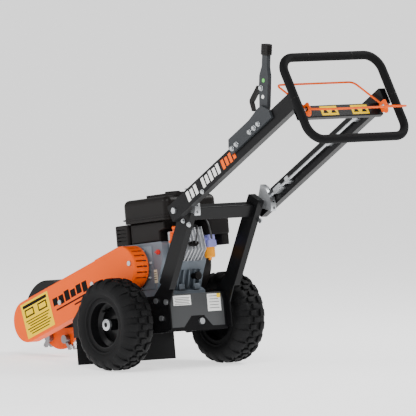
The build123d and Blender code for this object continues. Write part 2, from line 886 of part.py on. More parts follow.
# black sheet shroud between the block and the tank
tank_bottom = 436.0
with BuildPart() as engine_shroud:
    with BuildSketch(side(-118)):
        with BuildLine():
            Polyline(
                (-94, crankcase_top + seat),
                (110, crankcase_top + seat),
                (110, 388),
                (148, 398),
                (148, tank_bottom - seat),
                (-94, tank_bottom - seat),
                close=True,
            )
        make_face()
    extrude(amount=230)
    fillet(engine_shroud.faces().sort_by(Axis.X)[-1].edges(), 8)
    with BuildSketch(level(tank_bottom - seat)):
        with Locations((-3, (-94 + 108) / 2)):
            Rectangle(230 - 6 * shell_wall, 202 - 6 * shell_wall)
    extrude(amount=-(tank_bottom - crankcase_top - 2 * seat - shell_wall), mode=Mode.SUBTRACT)
save(engine_shroud, "engine_shroud")

# boxed muffler guard at the front of the engine
with BuildPart() as muffler_cover:
    with BuildSketch(level(crankcase_top + seat)):
        with Locations((25, -146)):
            RectangleRounded(190, 98, 12)
    extrude(amount=90)
    fillet(muffler_cover.faces().sort_by(Axis.Z)[-1].edges(), 6)
    with BuildSketch(level(crankcase_top + seat)):
        with Locations((25, -146)):
            Rectangle(190 - 8 * shell_wall, 98 - 8 * shell_wall)
    extrude(amount=90 - shell_wall, mode=Mode.SUBTRACT)
    for row in range(4):
        with BuildSketch(side(120)):
            with Locations((-146, crankcase_top + 22 + row * 16)):
                SlotOverall(64, 5)
        extrude(amount=-8, mode=Mode.SUBTRACT)
save(muffler_cover, "muffler_cover")

# moulded tank in two halves with a seam, a raised top and a filler neck
tank_left_x = 150.0
tank_right_x = -150.0
tank_front = -112.0
tank_rear = 222.0
tank_top = 540.0
tank_seam = 452.0
tank_flange = 6.0
tank_wall = 4.0
cap_u = 60.0
cap_x = -20.0
neck_radius = 26.0
tank_length = tank_rear - tank_front
tank_mid_u = (tank_rear + tank_front) / 2
tank_mid_x = (tank_left_x + tank_right_x) / 2
with BuildPart() as fuel_tank:
    with BuildSketch(level(tank_bottom)):
        with Locations((tank_mid_x, tank_mid_u)):
            RectangleRounded(tank_left_x - tank_right_x - 16, tank_length - 16, 30)
    extrude(amount=tank_top - tank_bottom)
    fillet(fuel_tank.faces().sort_by(Axis.Z)[-1].edges(), 26)
    with BuildSketch(level(tank_seam - 2)):
        with Locations((tank_mid_x, tank_mid_u)):
            RectangleRounded(tank_left_x - tank_right_x, tank_length, 34)
    extrude(amount=tank_flange)
    with BuildSketch(level(tank_top - 4)):
        with Locations((tank_mid_x - 20, tank_mid_u + 38)):
            RectangleRounded(180, 230, 14)
    extrude(amount=18)
    with BuildSketch(level(tank_top)):
        with Locations((cap_x, cap_u)):
            Circle(neck_radius + 12)
    extrude(amount=20, mode=Mode.SUBTRACT)
    with BuildSketch(level(tank_top)):
        with Locations((cap_x, cap_u)):
            Circle(neck_radius)
    extrude(amount=8)
    with BuildSketch(level(tank_top + 8)):
        with Locations((cap_x, cap_u)):
            Circle(neck_radius - 5)
    extrude(amount=-60, mode=Mode.SUBTRACT)
    with BuildSketch(level(tank_bottom + tank_wall)):
        with Locations((tank_mid_x, tank_mid_u)):
            RectangleRounded(tank_left_x - tank_right_x - 60, tank_length - 60, 20)
    extrude(amount=tank_top - tank_bottom - 16 - tank_wall, mode=Mode.SUBTRACT)
save(fuel_tank, "fuel_tank")

cap_radius = 33.0
with BuildPart() as fuel_cap:
    with BuildSketch(level(tank_top + 8 + free_gap)):
        with Locations((cap_x, cap_u)):
            Circle(cap_radius)
            with PolarLocations(cap_radius + 3, 12):
                Circle(5, mode=Mode.SUBTRACT)
    extrude(amount=16)
    with BuildSketch(level(tank_top + 8 + free_gap)):
        with Locations((cap_x, cap_u)):
            Circle(neck_radius - 5 - free_gap)
    extrude(amount=-14)
save(fuel_cap, "fuel_cap")

# carburettor on the rear of the cylinder, its bowl below
carb_x = -88.0
carb_u = 200.0
bowl_radius = 24.0
bowl_top = 304.0
bowl_height = 46.0
with BuildPart() as carburettor:
    with BuildSketch(level(bowl_top)):
        with Locations((carb_x, carb_u)):
            RectangleRounded(50, 54, 10)
    extrude(amount=30)
    with BuildSketch(level(bowl_top)):
        with Locations((carb_x, carb_u)):
            Circle(bowl_radius + 3)
    extrude(amount=8)
    with BuildSketch(level(bowl_top + 30)):
        with Locations((carb_x - 2, carb_u - 6)):
            RectangleRounded(34, 62, 8)
    extrude(amount=24)
    with BuildSketch(side(carb_x)):
        with Locations((carb_u - 10, bowl_top + 28)):
            Circle(20)
    extrude(amount=cylinder_right_x - carb_x)
save(carburettor, "carburettor")

with BuildPart() as float_bowl:
    with BuildSketch(level(bowl_top)):
        with Locations((carb_x, carb_u)):
            Circle(bowl_radius)
    extrude(amount=-bowl_height)
    fillet(float_bowl.faces().sort_by(Axis.Z)[0].edges(), 7)
    with BuildSketch(level(bowl_top - bowl_height)):
        with Locations((carb_x, carb_u)):
            Circle(7)
    extrude(amount=-10)
save(float_bowl, "float_bowl")

# air cleaner box over the carburettor, just under the tank
cleaner_bottom = bowl_top + 54
with BuildPart() as air_cleaner:
    with BuildSketch(level(cleaner_bottom)):
        with Locations((-130, 191)):
            RectangleRounded(118, 84, 16)
    extrude(amount=tank_bottom - seat - cleaner_bottom)
    fillet(air_cleaner.faces().sort_by(Axis.Z)[0].edges(), 8)
    with BuildSketch(level(cleaner_bottom)):
        with Locations((-164, 196)):
            RectangleRounded(40, 62, 8)
    extrude(amount=-46)
    with BuildSketch(level(tank_bottom - seat)):
        with Locations((-130, 191)):
            RectangleRounded(118 - 2 * shell_wall, 84 - 2 * shell_wall, 13)
    extrude(amount=-(tank_bottom - seat - cleaner_bottom - 8), mode=Mode.SUBTRACT)
save(air_cleaner, "air_cleaner")

# control plate on the left of the cylinder, with its levers
panel_left_x = cylinder_left_x + 4
with BuildPart() as control_panel:
    with BuildSketch(side(cylinder_left_x)):
        with Locations((172, 350)):
            RectangleRounded(44, 66, 6)
    extrude(amount=4)
    for u, w in ((178, 372), (162, 340)):
        with BuildSketch(side(panel_left_x)):
            with Locations((u, w)):
                Circle(5)
        extrude(amount=14)
save(control_panel, "control_panel")


def small_lever(u, w, length, angle, knob):
    """Flat lever turning on a post of the control plate, with a knob at its end."""
    with BuildPart() as lever:
        with BuildSketch(side(panel_left_x + 2)):
            with Locations((u, w)):
                Circle(9)
            with Locations(Location((u, w, 0), angle)):
                with Locations((length / 2, 0)):
                    Rectangle(length, 9)
            with Locations((u, w)):
                Circle(5 + 2 * running_gap, mode=Mode.SUBTRACT)
        extrude(amount=4)
        with BuildSketch(side(panel_left_x + 2)):
            du, dw = turned(length, 0, angle)
            with Locations((u + du, w + dw)):
                Circle(knob)
        extrude(amount=12)
    return lever


choke_lever = small_lever(178, 372, 30, 60, 7)
save(choke_lever, "choke_lever")
throttle_lever = small_lever(162, 340, 34, 10, 8)
save(throttle_lever, "throttle_lever")

# starter's pull handle, parked against the drum
with BuildPart() as starter_grip:
    grip_w = crank_w + starter_radius + free_gap
    with BuildSketch(side(crankcase_right_x - blower_depth - starter_depth / 2 - 9)):
        with Locations((crank_u + 18, grip_w + 10)):
            RectangleRounded(76, 20, 9)
    extrude(amount=18)
save(starter_grip, "starter_grip")

# stop switch on the crankcase's rear corner
with BuildPart() as engine_switch:
    with BuildSketch(side(pto_face_x + free_gap)):
        with Locations((104, 300)):
            Circle(11)
    extrude(amount=8)
    with BuildSketch(side(pto_face_x + free_gap + 8)):
        with Locations((104, 300)):
            Rectangle(20, 6)
    extrude(amount=7)
save(engine_switch, "engine_switch")


# ---------------------------------------------------------------- handle
handle_inner_x = handle_outer_x - tube_width
tube_start = -36.0


def handle_tube(inner_x):
    """Rectangular arm of the handle from its pivot to the grip loop, closed at the pivot."""
    with BuildPart() as arm:
        with BuildSketch(handle_side(inner_x)):
            with Locations(((handle_length + tube_start) / 2, 0)):
                RectangleRounded(handle_length - tube_start, tube_depth, 5)
        extrude(amount=tube_width)
        with BuildSketch(handle_side(inner_x + tube_wall)):
            with Locations(((handle_length + tube_start) / 2, 0)):
                Rectangle(handle_length - tube_start - 30, tube_depth - 2 * tube_wall)
        extrude(amount=tube_width - 2 * tube_wall, mode=Mode.SUBTRACT)
        with BuildSketch(handle_side(inner_x)):
            Circle(8 + running_gap)
        extrude(amount=tube_width, mode=Mode.SUBTRACT)
    return arm


left_handle_tube = handle_tube(handle_inner_x)
save(left_handle_tube, "left_handle_tube")
right_handle_tube = handle_tube(-handle_outer_x)
save(right_handle_tube, "right_handle_tube")

# pivot bolts through upright, spacer gap and handle tube
with BuildPart() as pivot_bolts:
    for sign in (1, -1):
        start = sign * (upright_outer_x - tube_width)
        with BuildSketch(side(start)):
            with Locations((pivot_u, pivot_w)):
                Circle(8)
        extrude(amount=sign * (handle_outer_x + 0.3 - abs(start)))
        with BuildSketch(side(sign * (handle_outer_x + 0.3))):
            with Locations((pivot_u, pivot_w)):
                Circle(bolt_head_radius)
        extrude(amount=sign * bolt_head_height)
save(pivot_bolts, "pivot_bolts")

# bar between the arms under the grips
bar_a = 908.0
bar_b = -44.0
bar_depth = 58.0
bar_width = 26.0
bar_wall = 3.0
with BuildPart() as handle_crossbar:
    with BuildSketch(handle_side(-handle_inner_x)):
        with Locations((bar_a, bar_b)):
            RectangleRounded(bar_width, bar_depth, 4)
            Rectangle(bar_width - 2 * bar_wall, bar_depth - 2 * bar_wall, mode=Mode.SUBTRACT)
    extrude(amount=2 * handle_inner_x)
save(handle_crossbar, "handle_crossbar")

# padded loop that the operator holds, its sides standing on the arms' ends
loop_a = handle_length + loop_tube_radius + 1
loop_b = -10.0
handle_direction = back * cos(radians(handle_rise)) + rise * sin(radians(handle_rise))
loop_plane = Plane(origin=handle_place(0, loop_a, loop_b), x_dir=cross, z_dir=handle_direction)
with BuildSketch(loop_plane) as loop_outline:
    RectangleRounded(loop_width, loop_height, loop_corner)
loop_path = loop_outline.sketch.faces()[0].outer_wire()
with BuildPart() as grip_loop:
    with BuildSketch(Plane(origin=loop_path @ 0, z_dir=loop_path % 0)):
        Circle(loop_tube_radius)
    sweep(path=loop_path)
save(grip_loop, "grip_loop")

# housings on the arms' inner faces that guide the lock pins, and clips for the rods
pin_x = (strap_inner_x + strap_outer_x) / 2
guide_start = 128.0
guide_length = 58.0
rod_radius = 6.0
clip_spots = (232.0, 560.0, 770.0)
with BuildPart() as pin_guides:
    for sign in (1, -1):
        with BuildSketch(handle_side(sign * handle_inner_x)):
            with Locations((guide_start + guide_length / 2, 0)):
                RectangleRounded(guide_length, 26, 5)
        extrude(amount=-sign * 26)
        for spot in clip_spots:
            with BuildSketch(handle_side(sign * handle_inner_x)):
                with Locations((spot, 0)):
                    RectangleRounded(26, 30, 4)
            extrude(amount=-sign * 24)
        bore_plane = Plane(
            origin=handle_place(sign * pin_x, guide_start - 1, 0),
            x_dir=cross,
            z_dir=handle_direction,
        )
        with BuildSketch(bore_plane):
            Circle(pin_radius + running_gap)
        extrude(amount=handle_length, mode=Mode.SUBTRACT)
save(pin_guides, "pin_guides")


# ---------------------------------------------------------------- lock release
# spring pins out of the straps at rest, pushed home by a positive slide
pin_tip = strap_radius + 1.0
bar_start = 835.0
release_bar_radius = 8.0
with BuildPart() as lock_pins:
    for sign in (1, -1):
        pin_plane = Plane(
            origin=handle_place(sign * pin_x, pin_tip, 0), x_dir=cross, z_dir=handle_direction
        )
        with BuildSketch(pin_plane):
            Circle(pin_radius)
        extrude(amount=guide_start + guide_length + 4 - pin_tip)
save(lock_pins, "lock_pins")

with BuildPart() as release_bar:
    for sign in (1, -1):
        rod_plane = Plane(
            origin=handle_place(sign * pin_x, guide_start + guide_length + 4, 0),
            x_dir=cross,
            z_dir=handle_direction,
        )
        with BuildSketch(rod_plane):
            Circle(rod_radius)
        extrude(amount=bar_start - guide_start - guide_length - 4)
    with BuildSketch(handle_side(-pin_x - 8)):
        with Locations((bar_start, 0)):
            Circle(release_bar_radius)
    extrude(amount=2 * pin_x + 16)
save(release_bar, "release_bar")


# ---------------------------------------------------------------- operator bail
# two wire hoops on one pair of ears, one over the grips and one below them
bail_pivot_a = 958.0
bail_pivot_b = -52.0
bail_half_width = 214.0
bail_front_a = 838.0
bail_front_b = 136.0
ear_wall = 4.0
ear_radius = 20.0
bail_corner = 26.0
with BuildPart() as bail_hoops:
    for end_a, end_b in ((bail_front_a, bail_front_b), (bail_rear_a, bail_rear_b)):
        reach_a = end_a - bail_pivot_a
        reach_b = end_b - bail_pivot_b
        reach = (reach_a**2 + reach_b**2) ** 0.5
        outwards = (handle_place(0, end_a, end_b) - handle_place(0, bail_pivot_a, bail_pivot_b)) / reach
        hoop_plane = Plane(
            origin=handle_place(0, bail_pivot_a, bail_pivot_b),
            x_dir=cross,
            z_dir=cross.cross(outwards),
        )
        with BuildLine(hoop_plane) as hoop_path:
            FilletPolyline(
                (-bail_half_width, ear_radius - 4),
                (-bail_half_width, reach),
                (bail_half_width, reach),
                (bail_half_width, ear_radius - 4),
                radius=bail_corner,
            )
        with BuildSketch(Plane(origin=hoop_path.line @ 0, z_dir=hoop_path.line % 0)):
            Circle(bail_wire_radius)
        sweep(path=hoop_path.line)
    for sign in (1, -1):
        with BuildSketch(handle_side(sign * (bail_half_width - ear_wall / 2))):
            with Locations((bail_pivot_a, bail_pivot_b)):
                RectangleRounded(46, 46, 10)
            with Locations((bail_pivot_a + 4, bail_pivot_b - 22)):
                Circle(14)
            with Locations((bail_pivot_a, bail_pivot_b)):
                Circle(5 + running_gap, mode=Mode.SUBTRACT)
        extrude(amount=sign * ear_wall)
save(bail_hoops, "bail_hoops")

# pins that carry the ears, fixed in the arms through short lugs
with BuildPart() as bail_pins:
    for sign in (1, -1):
        with BuildSketch(handle_side(sign * (bail_half_width - 8))):
            with Locations((bail_pivot_a, bail_pivot_b)):
                Circle(5)
        extrude(amount=sign * (handle_inner_x - bail_half_width + 12))
        with BuildSketch(handle_side(sign * (handle_inner_x + 1))):
            with BuildLine():
                Polyline(
                    (handle_length - 40, -tube_depth / 2),
                    (handle_length, -tube_depth / 2),
                    (bail_pivot_a + 14, bail_pivot_b - 12),
                    (bail_pivot_a - 14, bail_pivot_b - 12),
                    close=True,
                )
            make_face()
        extrude(amount=sign * 8)
save(bail_pins, "bail_pins")


# ---------------------------------------------------------------- control lever
bracket_start = 480.0
bracket_end = 800.0
bracket_low = 2.0
bracket_high = 68.0
bracket_wall = 3.0
lever_pivot_a = 750.0
lever_pivot_b = 62.0
lever_width = 20.0
lever_lean = 90 - handle_rise - nose_down - 3
with BuildPart() as lever_bracket:
    with BuildSketch(handle_side(handle_outer_x)):
        with BuildLine():
            Polyline(
                (bracket_start, bracket_low),
                (bracket_end, bracket_low),
                (bracket_end, tube_depth / 2),
                (lever_pivot_a + 16, bracket_high + 12),
                (lever_pivot_a - 16, bracket_high + 12),
                (lever_pivot_a - 90, bracket_high),
                (bracket_start + 18, bracket_high),
                (bracket_start, tube_depth / 2),
                close=True,
            )
        make_face()
    extrude(amount=12)
    with BuildSketch(handle_side(handle_outer_x + 0)):
        with BuildLine():
            Polyline(
                (bracket_start, tube_depth / 2),
                (lever_pivot_a - 60, tube_depth / 2),
                (lever_pivot_a - 90, bracket_high),
                (bracket_start + 18, bracket_high),
                close=True,
            )
        make_face()
    extrude(amount=-tube_width + 4)
    with BuildSketch(handle_side(handle_outer_x)):
        with Locations((lever_pivot_a, lever_pivot_b)):
            Circle(7)
    extrude(amount=-tube_width + 6)
save(lever_bracket, "lever_bracket")


def lever_plane(x):
    """Plane facing left at x on the lever's pivot, its x up the lever."""
    du, dw = turned(lever_pivot_a, lever_pivot_b, handle_rise)
    return tilted(x, pivot_u + du, pivot_w + dw, handle_rise + lever_lean)


lever_left_x = handle_outer_x - free_gap
with BuildPart() as control_lever:
    with BuildSketch(lever_plane(lever_left_x)):
        with BuildLine():
            Polyline(
                (-12, -20),
                (-12, 20),
                (110, 30),
                (150, 30),
                (190, 16),
                (238, 16),
                (238, -18),
                (190, -18),
                (150, -28),
                (20, -30),
                close=True,
            )
        make_face()
        Circle(7 + running_gap, mode=Mode.SUBTRACT)
    extrude(amount=-lever_width)
save(control_lever, "control_lever")

with BuildPart() as lever_grip:
    with BuildSketch(lever_plane(lever_left_x + 3)):
        with Locations((262, -1)):
            RectangleRounded(48, 42, 6)
    extrude(amount=-lever_width - 6)
save(lever_grip, "lever_grip")

# squeeze handle in front of the lever, hung from its body
with BuildPart() as lever_trigger:
    with BuildSketch(lever_plane(lever_left_x - 2)):
        with BuildLine():
            Polyline(
                (104, 30.5),
                (104, 48),
                (40, 92),
                (28, 92),
                (-8, 74),
                (-8, 60),
                (30, 76),
                (88, 34),
                (88, 30.5),
                close=True,
            )
        make_face()
        with Locations((96, 38)):
            Circle(3, mode=Mode.SUBTRACT)
    extrude(amount=-lever_width + 4)
save(lever_trigger, "lever_trigger")


# ---------------------------------------------------------------- fasteners
cover_bolt_length = guard_face_x - back_plate_x
with BuildPart() as chassis_bolts:
    for u, w in foot_bolts:
        for sign in (1, -1):
            with BuildSketch(side(sign * (half_spacing + 6))):
                with Locations((u, w)):
                    Circle(bolt_head_radius - 1)
            extrude(amount=sign * bolt_head_height)
    with BuildSketch(facing_front(deck_rear - 2)):
        with Locations((-19, -16)):
            Circle(14)
    extrude(amount=-10)
    for distance in cover_bolts:
        outside_x = guard_face_x if distance == cover_bolts[2] else front_face_x
        with BuildSketch(drive_plane(back_plate_x + back_plate_wall)):
            with Locations((distance, 0)):
                Circle(4)
        extrude(amount=outside_x - back_plate_x - back_plate_wall)
        with BuildSketch(drive_plane(outside_x)):
            with Locations((distance, 0)):
                Circle(11)
        extrude(amount=7)
save(chassis_bolts, "chassis_bolts")
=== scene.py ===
import json
from math import atan2, cos, pi, radians, sin

import bmesh
import bpy
from mathutils import Matrix, Vector


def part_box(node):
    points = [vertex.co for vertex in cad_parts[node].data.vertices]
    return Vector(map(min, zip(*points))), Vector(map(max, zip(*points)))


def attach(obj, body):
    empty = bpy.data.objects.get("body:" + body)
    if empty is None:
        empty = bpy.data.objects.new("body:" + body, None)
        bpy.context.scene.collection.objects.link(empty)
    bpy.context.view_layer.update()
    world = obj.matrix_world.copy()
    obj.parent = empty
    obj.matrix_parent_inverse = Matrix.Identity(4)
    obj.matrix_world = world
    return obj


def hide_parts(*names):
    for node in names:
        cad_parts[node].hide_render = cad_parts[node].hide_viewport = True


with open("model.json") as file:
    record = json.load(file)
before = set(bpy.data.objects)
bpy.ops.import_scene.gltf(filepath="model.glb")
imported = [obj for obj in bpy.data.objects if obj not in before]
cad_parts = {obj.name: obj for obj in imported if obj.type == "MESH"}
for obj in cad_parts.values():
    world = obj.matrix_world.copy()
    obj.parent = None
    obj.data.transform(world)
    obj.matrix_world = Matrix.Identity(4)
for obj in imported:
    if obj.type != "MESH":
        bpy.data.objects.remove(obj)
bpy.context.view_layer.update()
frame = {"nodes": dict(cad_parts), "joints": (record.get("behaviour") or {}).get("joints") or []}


# ---------------------------------------------------------------- camera, floor and light
# A long lens looks at the machine from its left rear, a little above the ground.
view_turn = radians(141)
view_lift = radians(3.8)
view_distance = 30.0
view_width = 1.813
towards_camera = Vector(
    (sin(view_turn) * cos(view_lift), -cos(view_turn) * cos(view_lift), sin(view_lift))
)
looked_at = Vector((0, 0.0552, 0.712))
camera_data = bpy.data.cameras.new("camera")
camera_data.sensor_width = 36
camera_data.lens = 36 * view_distance / view_width
camera_data.clip_end = 200
camera = bpy.data.objects.new("camera", camera_data)
camera.location = looked_at + towards_camera * view_distance
camera.rotation_euler = (-towards_camera).to_track_quat("-Z", "Y").to_euler()
bpy.context.scene.collection.objects.link(camera)
bpy.context.scene.camera = camera


def plain_material(name, colour, roughness):
    """A material of one even colour."""
    material = bpy.data.materials.new(name)
    material.use_nodes = True
    shader = material.node_tree.nodes["Principled BSDF"]
    shader.inputs["Base Color"].default_value = (*colour, 1)
    shader.inputs["Roughness"].default_value = roughness
    return material


floor_glow = 1.1
world_strength = 0.42
lamp_target = Vector((0, 0, 0.6))
floor_mesh = bmesh.new()
bmesh.ops.create_grid(floor_mesh, x_segments=1, y_segments=1, size=60)
floor_data = bpy.data.meshes.new("floor")
floor_mesh.to_mesh(floor_data)
floor_mesh.free()
floor_white = plain_material("pale floor", (0.92, 0.92, 0.92), 0.95)
floor_shader = floor_white.node_tree.nodes["Principled BSDF"]
floor_shader.inputs["Emission Color"].default_value = (1, 1, 1, 1)
floor_shader.inputs["Emission Strength"].default_value = floor_glow
floor_data.materials.append(floor_white)
floor = bpy.data.objects.new("floor", floor_data)
bpy.context.scene.collection.objects.link(floor)

world = bpy.data.worlds.new("studio")
world.use_nodes = True
world.node_tree.nodes["Background"].inputs["Color"].default_value = (1, 1, 1, 1)
world.node_tree.nodes["Background"].inputs["Strength"].default_value = world_strength
bpy.context.scene.world = world

for lamp_name, spot, lamp_size, power in (
    ("key lamp", Vector((3.6, 3.2, 4.2)), 2.0, 215),
    ("side lamp", Vector((4.2, -3.0, 2.6)), 2.0, 85),
    ("back lamp", Vector((-3.4, 1.2, 3.6)), 2.0, 190),
):
    lamp_data = bpy.data.lights.new(lamp_name, "AREA")
    lamp_data.size = lamp_size
    lamp_data.energy = power
    lamp = bpy.data.objects.new(lamp_name, lamp_data)
    lamp.location = spot
    lamp.rotation_euler = (lamp_target - spot).to_track_quat("-Z", "Y").to_euler()
    bpy.context.scene.collection.objects.link(lamp)


# ---------------------------------------------------------------- black frame
# Cheeks, deck, boom, uprights and arms are welded and bolted steel, powder coated
# satin black, with the fine orange peel that the powder leaves.
def make_grain_group():
    """Group that lays fine and broad noise over a colour, its roughness and its height."""
    group = bpy.data.node_groups.new("surface grain", "ShaderNodeTree")
    for name, kind, value in (
        ("Color", "NodeSocketColor", (0.5, 0.5, 0.5, 1)),
        ("Shade", "NodeSocketFloat", 0.1),
        ("Scale", "NodeSocketFloat", 200.0),
        ("Roughness", "NodeSocketFloat", 0.5),
        ("Spread", "NodeSocketFloat", 0.1),
    ):
        socket = group.interface.new_socket(name=name, in_out="INPUT", socket_type=kind)
        socket.default_value = value
    group.interface.new_socket(name="Color", in_out="OUTPUT", socket_type="NodeSocketColor")
    group.interface.new_socket(name="Roughness", in_out="OUTPUT", socket_type="NodeSocketFloat")
    group.interface.new_socket(name="Height", in_out="OUTPUT", socket_type="NodeSocketFloat")
    nodes, links = group.nodes, group.links
    given = nodes.new("NodeGroupInput")
    out = nodes.new("NodeGroupOutput")
    place = nodes.new("ShaderNodeTexCoord")
    fine = nodes.new("ShaderNodeTexNoise")
    fine.inputs["Detail"].default_value = 3
    broad = nodes.new("ShaderNodeTexNoise")
    broad.inputs["Scale"].default_value = 9
    broad.inputs["Detail"].default_value = 4
    links.new(place.outputs["Object"], fine.inputs["Vector"])
    links.new(place.outputs["Object"], broad.inputs["Vector"])
    links.new(given.outputs["Scale"], fine.inputs["Scale"])
    darker = nodes.new("ShaderNodeMixRGB")
    darker.blend_type = "MULTIPLY"
    links.new(given.outputs["Shade"], darker.inputs["Fac"])
    links.new(given.outputs["Color"], darker.inputs["Color1"])
    links.new(broad.outputs["Fac"], darker.inputs["Color2"])
    wander = nodes.new("ShaderNodeMath")
    wander.operation = "MULTIPLY_ADD"
    links.new(broad.outputs["Fac"], wander.inputs[0])
    links.new(given.outputs["Spread"], wander.inputs[1])
    links.new(given.outputs["Roughness"], wander.inputs[2])
    links.new(darker.outputs["Color"], out.inputs["Color"])
    links.new(wander.outputs["Value"], out.inputs["Roughness"])
    links.new(fine.outputs["Fac"], out.inputs["Height"])
    return group


surface_grain = make_grain_group()


def grained_material(
    name, colour, roughness, metallic=0.0, shade=0.12, scale=220, spread=0.1, bump=0.06,
    coat=0.0, shine=0.5,
):
    """A material whose colour, gloss and height are broken by the surface grain."""
    material = bpy.data.materials.new(name)
    material.use_nodes = True
    nodes, links = material.node_tree.nodes, material.node_tree.links
    shader = nodes["Principled BSDF"]
    grain = nodes.new("ShaderNodeGroup")
    grain.node_tree = surface_grain
    grain.inputs["Color"].default_value = (*colour, 1)
    grain.inputs["Shade"].default_value = shade
    grain.inputs["Scale"].default_value = scale
    grain.inputs["Roughness"].default_value = roughness - spread / 2
    grain.inputs["Spread"].default_value = spread
    relief = nodes.new("ShaderNodeBump")
    relief.inputs["Strength"].default_value = bump
    relief.inputs["Distance"].default_value = 0.001
    links.new(grain.outputs["Color"], shader.inputs["Base Color"])
    links.new(grain.outputs["Roughness"], shader.inputs["Roughness"])
    links.new(grain.outputs["Height"], relief.inputs["Height"])
    links.new(relief.outputs["Normal"], shader.inputs["Normal"])
    shader.inputs["Metallic"].default_value = metallic
    shader.inputs["Coat Weight"].default_value = coat
    shader.inputs["Specular IOR Level"].default_value = shine
    return material


def finish_nodes(material, *names):
    """These pieces of the frame take this material."""
    for name in names:
        for held in frame["nodes"][name].material_slots:
            held.material = material


frame_black = grained_material(
    "satin black powder coat", (0.0055, 0.0055, 0.006), 0.32, scale=420, bump=0.08, shine=0.13,
)
finish_nodes(
    frame_black, "left_side_plate", "right_side_plate", "engine_deck", "boom", "left_upright",
    "right_upright", "upright_crossbar", "left_handle_tube", "right_handle_tube",
    "handle_crossbar", "flap_rail", "axle_spacers",
)


# ---------------------------------------------------------------- zinc hardware
# Bolts, hole straps, lock pins, rods and clips are bright zinc-plated steel, a little
# cloudy from the plating bath.
zinc = grained_material(
    "bright zinc plate", (0.62, 0.64, 0.66), 0.33, metallic=0.9, shade=0.3, scale=90,
    spread=0.16,
)
finish_nodes(
    zinc, "adjuster_straps", "axle", "chassis_bolts", "crankshaft", "cutter_shaft", "pivot_bolts",
    "pin_guides", "bail_pins", "lock_pins", "release_bar",
)

# The machine stands nose down on its wheels, so its own frame is tipped about the axle.
nose_down = radians(7.8)
axle_place = Vector(next(j["pos_m"] for j in frame["joints"] if j["name"] == "left_wheel_spin"))
cutter_place = Vector(next(j["pos_m"] for j in frame["joints"] if j["name"] == "cutter_spin"))
tilt_place = Vector(next(j["pos_m"] for j in frame["joints"] if j["name"] == "handle_tilt"))
lever_place = Vector(next(j["pos_m"] for j in frame["joints"] if j["name"] == "lever_pull"))
machine = Matrix.Translation(axle_place) @ Matrix.Rotation(nose_down, 4, "X")
handle_rise = nose_down + radians(24.8)
handle = Matrix.Translation(tilt_place) @ Matrix.Rotation(handle_rise, 4, "X")
crank_reach = Vector((0.717, 0.183))
drive_rise = nose_down + atan2(crank_reach.y, crank_reach.x)
drive = Matrix.Translation(cutter_place) @ Matrix.Rotation(drive_rise, 4, "X")
lever = Matrix.Translation(lever_place) @ Matrix.Rotation(radians(87), 4, "X")


def add_box(mesh, middle, size, turn=None):
    """A box of that size round a point, turned first if a turn is given."""
    made = bmesh.ops.create_cube(mesh, size=1)["verts"]
    bmesh.ops.scale(mesh, vec=size, verts=made)
    if turn:
        bmesh.ops.rotate(mesh, cent=(0, 0, 0), matrix=turn, verts=made)
    bmesh.ops.translate(mesh, vec=middle, verts=made)


def add_disc(mesh, middle, radius, length, sides=32):
    """A round boss lying along X, its middle at a point."""
    made = bmesh.ops.create_cone(
        mesh, cap_ends=True, segments=sides, radius1=radius, radius2=radius, depth=length
    )["verts"]
    bmesh.ops.rotate(mesh, cent=(0, 0, 0), matrix=Matrix.Rotation(pi / 2, 3, "Y"), verts=made)
    bmesh.ops.translate(mesh, vec=middle, verts=made)
    return made


def add_turned_disc(mesh, middle, radius, length, sides, turn):
    """A round boss that is turned off X about its own middle."""
    made = add_disc(mesh, (0, 0, 0), radius, length, sides)
    bmesh.ops.rotate(mesh, cent=(0, 0, 0), matrix=turn, verts=made)
    bmesh.ops.translate(mesh, vec=middle, verts=made)


def bevel_sharp(mesh, width, steps=2, least=0.5):
    """Round every edge that turns more than the least angle."""
    sharp = [e for e in mesh.edges if len(e.link_faces) == 2 and e.calc_face_angle() > least]
    bmesh.ops.bevel(
        mesh, geom=sharp, offset=width, segments=steps, profile=0.5, affect="EDGES", material=-1,
        clamp_overlap=True,
    )


# Faces that meet at more than this angle keep a hard edge between them.
hard_angle = radians(35)


def fit_piece(name, mesh, where, material, body):
    """Put a mesh in its frame, and let it ride on a body."""
    bmesh.ops.transform(mesh, matrix=where, verts=mesh.verts)
    data = bpy.data.meshes.new(name)
    mesh.to_mesh(data)
    mesh.free()
    data.materials.append(material)
    data.shade_smooth()
    data.set_sharp_from_angle(angle=hard_angle)
    piece = bpy.data.objects.new(name, data)
    bpy.context.scene.collection.objects.link(piece)
    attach(piece, body)
    return piece


washer_thick = 0.0018


def fit_screws(name, spots, radius, height, where, body):
    """Hexagon heads on washers, each standing on a face whose outward side is given."""
    mesh = bmesh.new()
    for x, y, z, outward in spots:
        add_disc(mesh, (x + outward * washer_thick / 2, y, z), radius * 1.25, washer_thick, 24)
        add_disc(mesh, (x + outward * (washer_thick + height / 2), y, z), radius, height, 6)
        shank_end = x + outward * (washer_thick + height)
        add_disc(mesh, (shank_end, y, z), radius * 0.45, height * 0.6, 16)
    bevel_sharp(mesh, radius * 0.06, 1)
    fit_piece(name, mesh, where, zinc, body)


